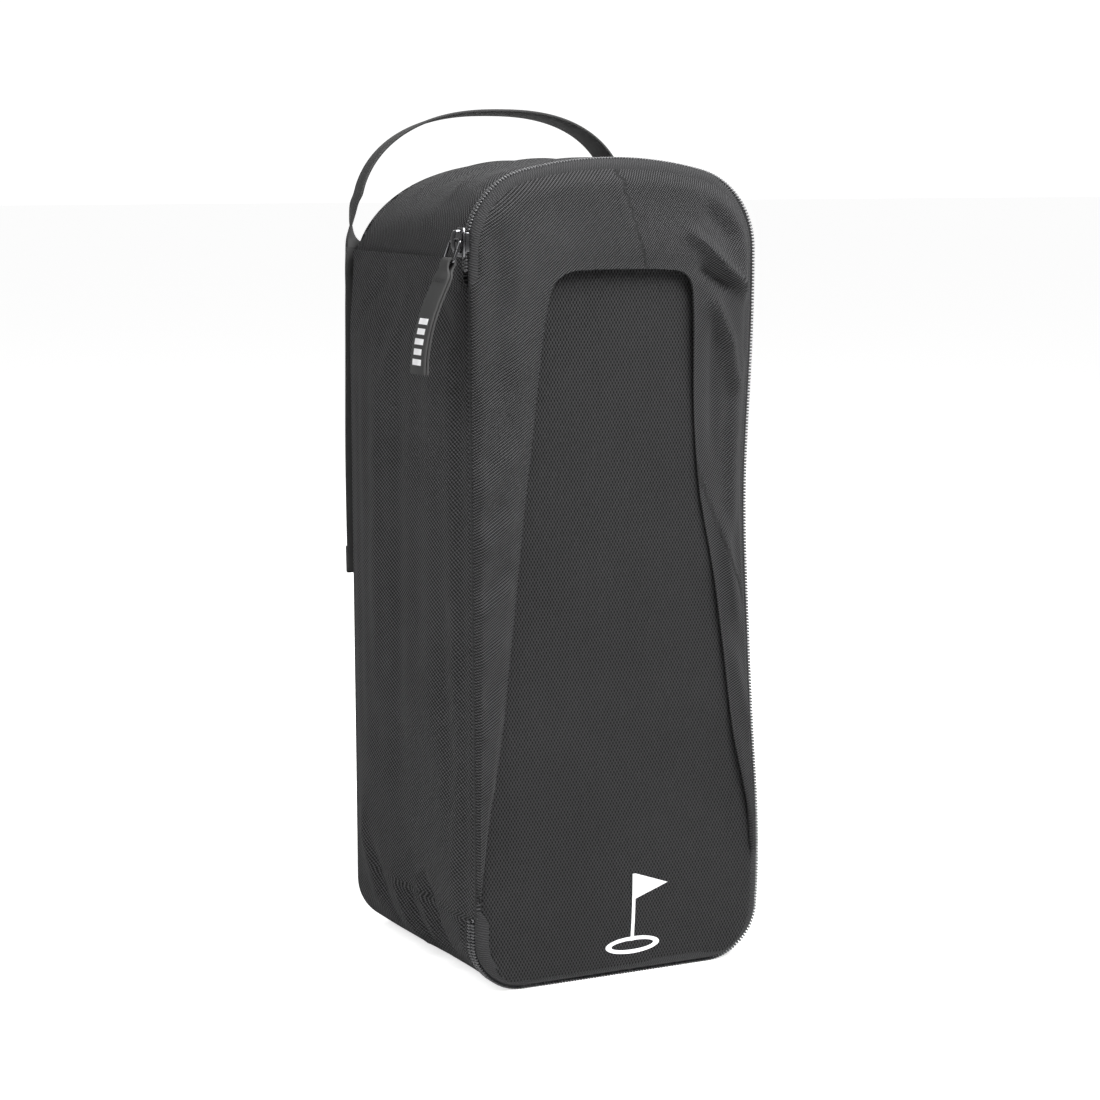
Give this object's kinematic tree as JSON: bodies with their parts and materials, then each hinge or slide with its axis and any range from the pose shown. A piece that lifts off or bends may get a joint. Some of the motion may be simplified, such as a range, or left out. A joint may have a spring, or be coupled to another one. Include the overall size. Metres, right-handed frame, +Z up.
{
  "type": "golf shoe bag",
  "caption": "Upright black fabric shoe bag with a side-hinged zipped front door, webbing carry handle and zip pull tab.",
  "frame": {"origin": "middle of the case's base, on the ground", "axes": "+Z up, the zipped door faces -Y, the door's hinge edge and the zip slider are on the -X side"},
  "size_m": [0.1775, 0.1448, 0.3977],
  "materials": {
    "body_fabric": "black twill weave polyester, matte",
    "coarse_fabric": "black coarse dotted weave, matte",
    "binding_tape": "woven seam binding",
    "stiffener_board": "black polypropylene sheet",
    "zip_tape": "woven zip tape",
    "zip_coil": "nylon coil, slight gloss",
    "slider_metal": "black gloss lacquer",
    "webbing": "ribbed polyester webbing",
    "thread": "black sewing thread",
    "foam": "soft polyethylene foam sheet",
    "lining": "plain weave lining",
    "white_print": "white heat-transfer print"
  },
  "bodies": {
    "bag": {"back_panel": "body_fabric", "lower_gusset": "body_fabric", "top_gusset": "body_fabric", "side_seam_tapes": "binding_tape", "back_binding": "binding_tape", "front_binding": "binding_tape", "hinge_binding": "binding_tape", "base_board": "stiffener_board", "zip_tape_body": "zip_tape", "zip_coil_body": "zip_coil", "zip_end_stops": "slider_metal", "back_strap_left": "webbing", "back_strap_right": "webbing", "strap_hems": "webbing", "handle_bartacks": "thread"},
    "door": {"door_center_panel": "coarse_fabric", "door_overlay": "body_fabric", "door_rim": "body_fabric", "door_foam": "foam", "door_lining": "lining", "zip_tape_door": "zip_tape", "zip_coil_door": "zip_coil", "front_mark": "white_print"},
    "slider": {"slider_body": "slider_metal", "slider_bridge": "slider_metal"},
    "ring": {"puller_ring": "slider_metal"},
    "tab": {"pull_tab": "webbing", "pull_tab_print": "white_print", "pull_tab_stitch": "thread"},
    "handle": {"handle_strap": "webbing"}
  },
  "joints": [
    {"name": "door_hinge", "type": "hinge", "parent": "bag", "child": "door", "pos_m": [-0.0725, -0.066, 0.175], "axis": [0, 0, -1], "range_deg": [0, 145]},
    {"name": "zip_slide", "type": "slide", "parent": "bag", "child": "slider", "axis": [0, 0, 1], "range_m": [-0.004, 0.002]},
    {"name": "ring_swing", "type": "hinge", "parent": "slider", "child": "ring", "pos_m": [-0.0766, -0.0614, 0.34], "axis": [0, 1, 0], "range_deg": [-6, 115]},
    {"name": "tab_swing", "type": "hinge", "parent": "ring", "child": "tab", "pos_m": [-0.08002, -0.0614, 0.3306], "axis": [0, 1, 0], "range_deg": [-12, 60]},
    {"name": "handle_swing", "type": "hinge", "parent": "bag", "child": "handle", "pos_m": [0, 0.0675, 0.333], "axis": [1, 0, 0], "range_deg": [-115, 8]}
  ]
}
